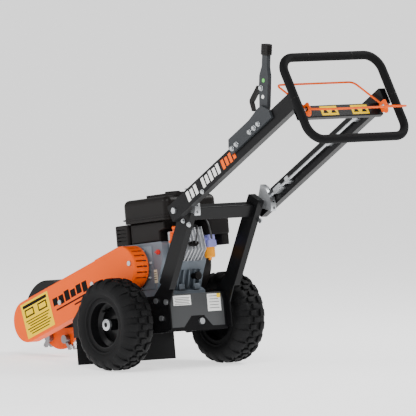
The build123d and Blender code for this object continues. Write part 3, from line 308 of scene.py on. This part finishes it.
# ---------------------------------------------------------------- tyres
# Balloon tyres of carbon-black rubber, moulded with two rows of shoulder blocks and a
# staggered row of centre blocks, and with bead rings on their side walls.
tyre_rubber = grained_material(
    "tyre rubber", (0.0075, 0.0075, 0.008), 0.66, scale=500, spread=0.18, bump=0.15, shade=0.3,
    shine=0.13,
)
half_track = (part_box("left_tyre")[0][0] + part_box("left_tyre")[1][0]) / 2
tyre_section = (
    (0.0608, 0.102), (0.0608, 0.1165), (0.0680, 0.1200), (0.0690, 0.1290), (0.0722, 0.1320),
    (0.0755, 0.1450), (0.0768, 0.1560), (0.0745, 0.1680), (0.0670, 0.1800), (0.0520, 0.1885),
    (0.0260, 0.1925), (0.0, 0.1935),
)
shoulder_block = (
    (0.0300, 0.1910), (0.0300, 0.2018), (0.0440, 0.1998), (0.0580, 0.1935), (0.0700, 0.1800),
    (0.0765, 0.1650), (0.0775, 0.1560), (0.0700, 0.1560), (0.0620, 0.1780),
)
centre_block = ((-0.0060, 0.1900), (-0.0060, 0.2024), (0.0240, 0.2016), (0.0240, 0.1900))
blocks_round = 20
pitch = 2 * pi / blocks_round
shoulder_width = 0.032
centre_width = 0.022


def spin_block(mesh, section, width, start):
    """Blocks of one section, thick across the tread, copied all round the tyre."""
    for step in range(blocks_round):
        face = mesh.faces.new([mesh.verts.new((x, -width / 2, r)) for x, r in section])
        grown = bmesh.ops.extrude_face_region(mesh, geom=[face])["geom"]
        far = [v for v in grown if isinstance(v, bmesh.types.BMVert)]
        bmesh.ops.translate(mesh, vec=(0, width, 0), verts=far)
        block = list(face.verts) + far
        turn = Matrix.Rotation(start + step * 2 * pi / blocks_round, 3, "X")
        bmesh.ops.rotate(mesh, cent=(0, 0, 0), matrix=turn, verts=block)


for wheel_side, sign in (("left", 1), ("right", -1)):
    carcass = bmesh.new()
    outline = list(tyre_section) + [(-x, r) for x, r in tyre_section[-2::-1]]
    inner = [(-0.0520, 0.102), (-0.0520, 0.122), (-0.0660, 0.156), (-0.0460, 0.180), (0.0, 0.186)]
    inner += [(-x, r) for x, r in inner[-2::-1]]
    ring = [carcass.verts.new((x, 0, r)) for x, r in outline + inner]
    edges = [carcass.edges.new((ring[i], ring[i - 1])) for i in range(len(ring))]
    bmesh.ops.spin(
        carcass, geom=ring + edges, cent=(0, 0, 0), axis=(1, 0, 0), angle=2 * pi, steps=96,
        use_merge=True,
    )
    bmesh.ops.remove_doubles(carcass, verts=carcass.verts, dist=0.00005)
    bmesh.ops.recalc_face_normals(carcass, faces=carcass.faces)
    blocks = bmesh.new()
    for section, width, start in (
        (shoulder_block, shoulder_width, 0), (centre_block, centre_width, pitch / 2),
    ):
        spin_block(blocks, section, width, start)
        spin_block(blocks, [(-x, r) for x, r in section], width, pitch / 2 - start)
    bmesh.ops.recalc_face_normals(blocks, faces=blocks.faces)
    bevel_sharp(blocks, 0.0025, 2, 0.6)
    block_data = bpy.data.meshes.new("blocks")
    blocks.to_mesh(block_data)
    blocks.free()
    carcass.from_mesh(block_data)
    bpy.data.meshes.remove(block_data)
    where = Matrix.Translation(axle_place + Vector((sign * half_track, 0, 0)))
    tyre = fit_piece(
        f"{wheel_side}_knobby_tyre", carcass, where, tyre_rubber, f"{wheel_side}_wheel",
    )
    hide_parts(f"{wheel_side}_tyre")


# ---------------------------------------------------------------- rims and hubs
# Pressed steel rims, painted gloss black, each with a rubber valve and a bright hub
# end, where a thin dark disc is painted shade standing in for the tube's open bore.
rim_black = grained_material(
    "gloss black rim paint", (0.006, 0.006, 0.0065), 0.3, scale=300, bump=0.04, shine=0.18,
)
finish_nodes(rim_black, "left_rim", "right_rim")
for wheel_side, sign in (("left", 1), ("right", -1)):
    hub = bmesh.new()
    add_disc(hub, (sign * 0.0440, 0, 0), 0.0256, 0.0135, 48)
    add_disc(hub, (sign * 0.0512, 0, 0), 0.0190, 0.0015, 48)
    bevel_sharp(hub, 0.0012, 2)
    where = Matrix.Translation(axle_place + Vector((sign * half_track, 0, 0)))
    fit_piece(f"{wheel_side}_hub_end", hub, where, zinc, f"{wheel_side}_wheel")
    # A thin dark disc laid on the hub end: painted shade in place of the dark inside of the open
    # bore.
    hole = bmesh.new()
    add_disc(hole, (sign * 0.0522, 0, 0), 0.0105, 0.0010, 40)
    fit_piece(
        f"{wheel_side}_hub_bore_painted_shade", hole, where, tyre_rubber, f"{wheel_side}_wheel",
    )
    valve = bmesh.new()
    add_disc(valve, (sign * 0.008, 0.0, 0.078), 0.004, 0.034, 16)
    add_disc(valve, (sign * 0.020, 0.0, 0.078), 0.0052, 0.014, 16)
    valve_turn = Matrix.Rotation(0.8, 4, "X")
    fit_piece(
        f"{wheel_side}_tyre_valve", valve, where @ valve_turn, tyre_rubber,
        f"{wheel_side}_wheel",
    )


# ---------------------------------------------------------------- orange sheet metal
# The belt guard's two covers, its back plate and the cutter disc are steel with a glossy
# orange coat; the hood over the disc is black.
guard_orange = grained_material(
    "orange gloss coat", (0.92, 0.105, 0.0), 0.42, shade=0.05, scale=260, spread=0.06,
    bump=0.05, shine=0.1,
)
finish_nodes(
    guard_orange, "guard_front_cover", "guard_rear_cover", "guard_back_plate", "cutter_disc",
)
finish_nodes(frame_black, "cutter_hood")

# Vinyl plates stuck on the guard: a yellow panel with plain rows, and a long dark mark
# made of bars only.
label_yellow = grained_material(
    "yellow label film", (0.95, 0.62, 0.0), 0.55, shade=0.02, bump=0.0, shine=0.05,
)
label_dark = grained_material(
    "black label print", (0.005, 0.005, 0.005), 0.5, bump=0.0, shine=0.05,
)
label_white = grained_material("white label film", (0.85, 0.85, 0.83), 0.42, shade=0.04, bump=0.0)
label_orange = grained_material(
    "orange label print", (0.92, 0.12, 0.0), 0.5, shade=0.04, bump=0.0, shine=0.1,
)
guard_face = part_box("guard_front_cover")[1][0] - cutter_place.x
film = 0.0005


def stick_bars(name, bars, where, film_top, material, body):
    """Printed bars on a face square to X, each given by its middle and its two sizes."""
    mesh = bmesh.new()
    for y, z, length, height in bars:
        add_box(mesh, (film_top, y, z), (film, length, height))
    fit_piece(name, mesh, where, material, body)


label_middle = 0.092
label_long = 0.210
stick_bars(
    "guard_yellow_label", [(label_middle, 0.0, label_long, 0.158)], drive,
    guard_face + film / 2, label_yellow, "chassis",
)
label_lines = [(label_middle, 0.062, 0.182, 0.014)]
label_lines += [(label_middle + side * 0.050, 0.030, 0.068, 0.036) for side in (-1, 1)]
label_lines += [
    (label_middle, -0.004 - row * 0.012, 0.180 - 0.022 * (row % 3), 0.0045) for row in range(6)
]
stick_bars(
    "guard_label_print", label_lines, drive, guard_face + film * 1.5, label_dark, "chassis",
)
stick_bars(
    "guard_label_windows", [(label_middle + side * 0.050, 0.030, 0.052, 0.022) for side in (-1, 1)],
    drive, guard_face + film * 2.5, label_yellow, "chassis",
)
mark_bars = [
    (0.238 + 0.045 * n, 0.014 - 0.004 * (n % 2), 0.036, 0.034 + 0.006 * (n % 3)) for n in range(6)
]
mark_bars += [(0.352, -0.024, 0.240, 0.007), (0.420, -0.042, 0.110, 0.007)]
stick_bars("guard_side_mark", mark_bars, drive, guard_face + film / 2, label_dark, "chassis")


# ---------------------------------------------------------------- engine castings
# The case and head are die-cast aluminium, the case painted blue-grey and ribbed, the
# head left bright, with a lilac carburettor and an amber float bowl behind it.
case_grey = grained_material(
    "blue-grey cast paint", (0.17, 0.20, 0.235), 0.48, metallic=0.35, scale=150, bump=0.35,
    shade=0.25,
)
head_bright = grained_material(
    "bright cast aluminium", (0.60, 0.61, 0.63), 0.42, metallic=0.75, scale=160, bump=0.35,
    shade=0.25,
)
lilac_cast = grained_material(
    "lilac carburettor casting", (0.36, 0.36, 0.78), 0.38, metallic=0.45, scale=180, bump=0.2,
)
amber = grained_material(
    "amber bowl lacquer", (0.98, 0.36, 0.0), 0.35, scale=200, bump=0.05, shine=0.3,
)
engine_black = grained_material(
    "black engine sheet", (0.008, 0.0065, 0.006), 0.4, scale=300, bump=0.08, shine=0.14,
)
moulded_black = grained_material(
    "moulded black plastic", (0.008, 0.007, 0.0068), 0.48, scale=500, bump=0.2, shine=0.14,
)
iron_dark = grained_material(
    "turned dark iron", (0.10, 0.10, 0.105), 0.45, metallic=0.7, scale=120, bump=0.15,
)
tooth_steel = grained_material(
    "hardened steel", (0.27, 0.27, 0.28), 0.38, metallic=0.85, scale=140, bump=0.15, shade=0.3,
)
panel_grey = grained_material(
    "grey panel coat", (0.055, 0.057, 0.059), 0.5, scale=300, bump=0.06, shine=0.2,
)
lever_orange = grained_material(
    "orange moulding", (0.93, 0.11, 0.0), 0.42, shine=0.12, scale=300, bump=0.05,
)
switch_red = grained_material("red switch moulding", (0.62, 0.02, 0.015), 0.35, bump=0.05)
belt_black = grained_material(
    "black belt rubber", (0.018, 0.018, 0.018), 0.7, scale=380, bump=0.15,
)
flap_black = grained_material(
    "black flap board", (0.008, 0.008, 0.0085), 0.6, scale=240, bump=0.12, shine=0.12,
)
foam_black = grained_material(
    "black grip foam", (0.0075, 0.0075, 0.008), 0.8, scale=900, bump=0.3, shine=0.1,
)
finish_nodes(case_grey, "crankcase")
finish_nodes(head_bright, "cylinder")
finish_nodes(lilac_cast, "carburettor")
finish_nodes(amber, "float_bowl")
finish_nodes(engine_black, "engine_shroud", "muffler_cover", "fuel_tank", "blower_housing")
finish_nodes(
    moulded_black, "air_cleaner", "fuel_cap", "starter_grip", "lever_grip", "lever_trigger",
)
finish_nodes(iron_dark, "shaft_bearings", "driven_pulley", "clutch_drum")
finish_nodes(tooth_steel, "tooth_holders", "cutter_teeth")
lever_grey = grained_material(
    "dark grey lever coat", (0.030, 0.033, 0.037), 0.38, scale=300, bump=0.06, shine=0.2,
)
finish_nodes(panel_grey, "rear_panel")
finish_nodes(lever_grey, "lever_bracket", "control_lever")
finish_nodes(lever_orange, "choke_lever", "throttle_lever", "control_panel", "bail_hoops")
finish_nodes(switch_red, "engine_switch")
finish_nodes(belt_black, "drive_belt")
finish_nodes(flap_black, "debris_flap")
finish_nodes(foam_black, "grip_loop")

# Ribs, bosses and joint faces that the case is cast with, on its rear and left sides.
case_detail = bmesh.new()
for rib in range(7):
    add_box(
        case_detail, (-0.098 + 0.031 * rib, 0.0905, 0.175), (0.006, 0.026, 0.085),
        Matrix.Rotation(-0.28, 3, "X"),
    )
for boss_x in (-0.085, 0.085, 0.0):
    add_box(case_detail, (boss_x, 0.0830, 0.142), (0.034, 0.028, 0.026))
add_box(case_detail, (0.1215, -0.030, 0.236), (0.003, 0.180, 0.190))
for rib in range(6):
    turn = Matrix.Rotation(rib * pi / 3 + 0.3, 3, "X")
    middle = turn @ Vector((0, 0.0, 0.074)) + Vector((0.1235, -0.050, 0.245))
    add_box(case_detail, middle, (0.004, 0.008, 0.055), turn)
bevel_sharp(case_detail, 0.0012, 2)
fit_piece("crankcase_ribs", case_detail, machine, case_grey, "chassis")

# Two oil fillers with their caps, and the bolts of the case's cover.
quarter_turn = Matrix.Rotation(pi / 2, 3, "Z")
filler = bmesh.new()
for filler_x in (-0.072, 0.066):
    add_turned_disc(filler, (filler_x, 0.106, 0.186), 0.0145, 0.030, 24, quarter_turn)
    add_turned_disc(filler, (filler_x, 0.124, 0.186), 0.0185, 0.012, 12, quarter_turn)
bevel_sharp(filler, 0.0015, 2)
fit_piece("oil_filler_caps", filler, machine, moulded_black, "chassis")
cover_angles = [n * pi / 4 + 0.2 for n in range(8)]
cover_ring = [
    (0.1232, -0.050 + 0.098 * cos(a), 0.240 + 0.086 * sin(a), 1) for a in cover_angles
]
fit_screws("crankcase_cover_bolts", cover_ring, 0.0065, 0.006, machine, "chassis")

# The spark plug's rubber boot and three of the head's bolts.
head_spots = [(0.160, 0.285), (0.188, 0.300), (0.150, 0.375)]
fit_screws(
    "head_bolts", [(0.0845, y, z, 1) for y, z in head_spots], 0.0065, 0.006, machine, "chassis"
)
boot = bmesh.new()
boot_turn = Matrix.Rotation(pi / 2 - 0.25, 3, "Z")
for boot_place, boot_radius, boot_length in (
    (0.0, 0.010, 0.030), (0.024, 0.0125, 0.026), (0.040, 0.009, 0.014),
):
    boot_middle = (0.030, 0.220 + boot_place * 0.97, 0.322)
    add_turned_disc(boot, boot_middle, boot_radius, boot_length, 20, boot_turn)
fit_piece("spark_plug_boot", boot, machine, moulded_black, "chassis")

# A pale plate on the case's left side, a black fuel pipe and the plug's lead.
case_side = 0.1208
beige = grained_material("beige rating plate", (0.62, 0.56, 0.42), 0.45, bump=0.0)
stick_bars(
    "case_rating_plate", [(0.060, 0.196, 0.044, 0.058)], machine, case_side, beige, "chassis",
)
stick_bars(
    "case_rating_print", [(0.060, 0.212 - 0.010 * n, 0.034, 0.003) for n in range(4)], machine,
    case_side + film, label_dark, "chassis",
)
pipe_rubber = grained_material("black fuel pipe", (0.02, 0.02, 0.021), 0.4, bump=0.05)


def bend_pipe(name, points, radius, where, material, body):
    """A short fixed pipe on one smooth line between two fittings."""
    curve = bpy.data.curves.new(name, "CURVE")
    curve.dimensions = "3D"
    curve.bevel_depth = radius
    curve.bevel_resolution = 4
    curve.use_fill_caps = True
    line = curve.splines.new("NURBS")
    line.points.add(len(points) - 1)
    for held, spot in zip(line.points, points):
        held.co = (*spot, 1)
    line.order_u = 3
    line.use_endpoint_u = True
    line.resolution_u = 10
    holder = bpy.data.objects.new(name + "_line", curve)
    data = bpy.data.meshes.new_from_object(holder)
    bpy.data.objects.remove(holder)
    pipe = bmesh.new()
    pipe.from_mesh(data)
    bpy.data.meshes.remove(data)
    fit_piece(name, pipe, where, material, body)


bend_pipe(
    "fuel_pipe", [
        (-0.060, 0.206, 0.440), (-0.060, 0.236, 0.420), (-0.062, 0.246, 0.380),
        (-0.080, 0.230, 0.352), (-0.086, 0.222, 0.340),
    ],
    0.0045, machine, pipe_rubber, "chassis",
)
bend_pipe(
    "plug_lead", [
        (0.036, 0.262, 0.324), (0.040, 0.275, 0.345), (0.020, 0.262, 0.385),
        (-0.010, 0.225, 0.405), (-0.012, 0.150, 0.410),
    ],
    0.0038, machine, pipe_rubber, "chassis",
)


# ---------------------------------------------------------------- handle and its labels
# The arms are rectangular tube with a row of plain printed bars on the left one, and
# the cross bar carries two yellow warning plates with plain triangles.
arm_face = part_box("left_handle_tube")[1][0] - tilt_place.x
arm_marks = [
    (0.118 + 0.0300 * n, 0.004, 0.020, 0.046 - 0.006 * (n % 2)) for n in range(9) if n != 3
]
stick_bars(
    "arm_white_marks", arm_marks, handle, arm_face + film / 2, label_white, "handle",
)
orange_marks = [(0.398 + 0.0285 * n, 0.002, 0.019, 0.044 - 0.005 * (n % 2)) for n in range(4)]
stick_bars(
    "arm_orange_marks", orange_marks, handle, arm_face + film / 2, label_orange, "handle",
)

bar_rear = 0.921
plate_middles = (-0.110, 0.060)
warning = bmesh.new()
for plate_x in plate_middles:
    add_box(warning, (plate_x, bar_rear + film / 2, -0.044), (0.092, film, 0.044))
fit_piece("crossbar_warning_plates", warning, handle, label_yellow, "handle")
signs = bmesh.new()
for plate_x in plate_middles:
    for side in (-1, 1):
        made = bmesh.ops.create_circle(signs, cap_ends=True, segments=3, radius=0.017)["verts"]
        upright = Matrix.Rotation(pi / 2, 3, "X")
        bmesh.ops.rotate(signs, cent=(0, 0, 0), matrix=upright, verts=made)
        sign_middle = (plate_x + side * 0.022, bar_rear + film * 1.2, -0.047)
        bmesh.ops.translate(signs, vec=sign_middle, verts=made)
bmesh.ops.solidify(signs, geom=signs.faces[:], thickness=film / 2)
bmesh.ops.recalc_face_normals(signs, faces=signs.faces)
fit_piece("crossbar_warning_signs", signs, handle, label_dark, "handle")

# Bolts through the arms into the pin guides, two more on the right arm, and the
# guides' own screws.
arm_bolts = [(sign * arm_face, 0.212, -0.027, sign) for sign in (1, -1)]
arm_bolts += [(-arm_face, a, 0.0, -1) for a in (0.560, 0.770)]
fit_screws("arm_bolts", arm_bolts, 0.0085, 0.006, handle, "handle")
guide_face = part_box("left_handle_tube")[0][0] - 0.026
guide_spots = [
    (sign * guide_face, 0.128 + 0.058 * k, 0.008 * (-1) ** n, -sign)
    for sign in (1, -1) for n, k in enumerate((0.2, 0.8))
]
fit_screws("guide_screws", guide_spots, 0.0035, 0.003, handle, "handle")

# Each ear of the hoops turns on a bright bolt.
ear_face = 0.216
ear_spots = [(sign * ear_face, 0.958, -0.052, -sign) for sign in (1, -1)]
fit_screws("ear_bolts", ear_spots, 0.0095, 0.006, handle, "bail")

# Foam on the loop is pushed on in lengths that meet in thin rings.
foam_rings = bmesh.new()
for ring_x, ring_b in ((-0.120, 0.190), (0.120, 0.190), (-0.2705, -0.010), (0.2705, -0.010)):
    ring_turn = Matrix.Rotation(pi / 2 if abs(ring_x) > 0.2 else 0, 3, "Y")
    add_turned_disc(foam_rings, (ring_x, 0.975, ring_b), 0.0194, 0.003, 32, ring_turn)
fit_piece("foam_joint_rings", foam_rings, handle, moulded_black, "handle")


# ---------------------------------------------------------------- control lever
# A cranked steel lever on the left arm. Its grip is ribbed, a green dot and a white dot
# mark its positions, and bolts hold it and its bracket.
lever_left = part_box("control_lever")[1][0] - lever_place.x
grip_ribs = bmesh.new()
grip_low, grip_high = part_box("lever_grip")
grip_middle = (grip_low[0] + grip_high[0]) / 2 - lever_place.x
for rib in range(6):
    add_box(grip_ribs, (grip_middle, 0.243 + 0.0075 * rib, -0.001), (0.0275, 0.0032, 0.0435))
bevel_sharp(grip_ribs, 0.0010, 2)
fit_piece("lever_grip_ribs", grip_ribs, lever, moulded_black, "lever")
green = grained_material("green dot", (0.10, 0.62, 0.08), 0.35, bump=0.0)
for dot_name, dot_material, dot_u in (
    ("lever_green_dot", green, 0.130), ("lever_white_dot", label_white, 0.060),
):
    dot = bmesh.new()
    add_disc(dot, (lever_left + 0.0008, dot_u, 0.0), 0.0085, 0.0016, 32)
    fit_piece(dot_name, dot, lever, dot_material, "lever")
lever_spots = [(lever_left, 0.0, 0.0, 1), (lever_left, 0.096, 0.014, 1)]
fit_screws("lever_bolts", lever_spots, 0.0100, 0.007, lever, "lever")
bracket_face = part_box("lever_bracket")[1][0] - tilt_place.x
bracket_spots = [(bracket_face, a, 0.022, 1) for a in (0.500, 0.535, 0.640, 0.675, 0.708)]
fit_screws("bracket_bolts", bracket_spots, 0.0095, 0.007, handle, "handle")


# ---------------------------------------------------------------- rear panel labels
# Two white rating plates on the grey rear panel, printed with plain rows and one
# yellow corner.
panel_rear = 0.187
rear_plates = bmesh.new()
for plate_x, plate_width in ((0.080, 0.098), (-0.098, 0.074)):
    plate_tall = 0.043 if plate_x > 0 else 0.076
    plate_middle = (plate_x, panel_rear + film / 2, 0.101 - plate_tall / 2)
    add_box(rear_plates, plate_middle, (plate_width, film, plate_tall))
fit_piece("rear_white_plates", rear_plates, machine, label_white, "chassis")
rear_rows = bmesh.new()
for plate_x, row_width in ((0.080, 0.084), (-0.098, 0.056)):
    row_step = 0.007 if plate_x > 0 else 0.013
    for row in range(5):
        row_middle = (plate_x, panel_rear + film * 1.4, 0.091 - row_step * row)
        add_box(rear_rows, row_middle, (row_width - 0.008 * (row % 2), film, 0.0022))
fit_piece("rear_plate_rows", rear_rows, machine, label_dark, "chassis")
corner = bmesh.new()
add_box(corner, (-0.124, panel_rear + film * 1.6, 0.092), (0.019, film, 0.018))
fit_piece("rear_plate_corner", corner, machine, label_yellow, "chassis")


# ---------------------------------------------------------------- chassis fixings
# Bolts of the uprights, spread round the handle's pivot, and a yellow label on the hood.
upright_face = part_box("left_upright")[1][0] - axle_place.x
pivot = Vector((0.415, 0.461))
for bolts_name, reach, angles, radius, height in (
    ("upright_bolts", 0.052, (-118, 170), 0.0085, 0.006),
    ("pivot_side_bolts", 0.066, (-78,), 0.0095, 0.007),
):
    spots = [
        (sign * upright_face, pivot.x + reach * cos(a), pivot.y + reach * sin(a), sign)
        for sign in (1, -1) for a in map(radians, angles)
    ]
    fit_screws(bolts_name, spots, radius, height, machine, "chassis")
hood_decal = bmesh.new()
hood_radius = 0.179
decal_turn = Matrix.Rotation(radians(58), 3, "X")
decal_middle = Vector((0.020, 0, 0)) + decal_turn @ Vector((0, 0, hood_radius + film / 2))
add_box(hood_decal, decal_middle, (0.050, 0.040, film), decal_turn)
hood_place = Matrix.Translation(cutter_place)
fit_piece("hood_yellow_decal", hood_decal, hood_place, label_yellow, "chassis")
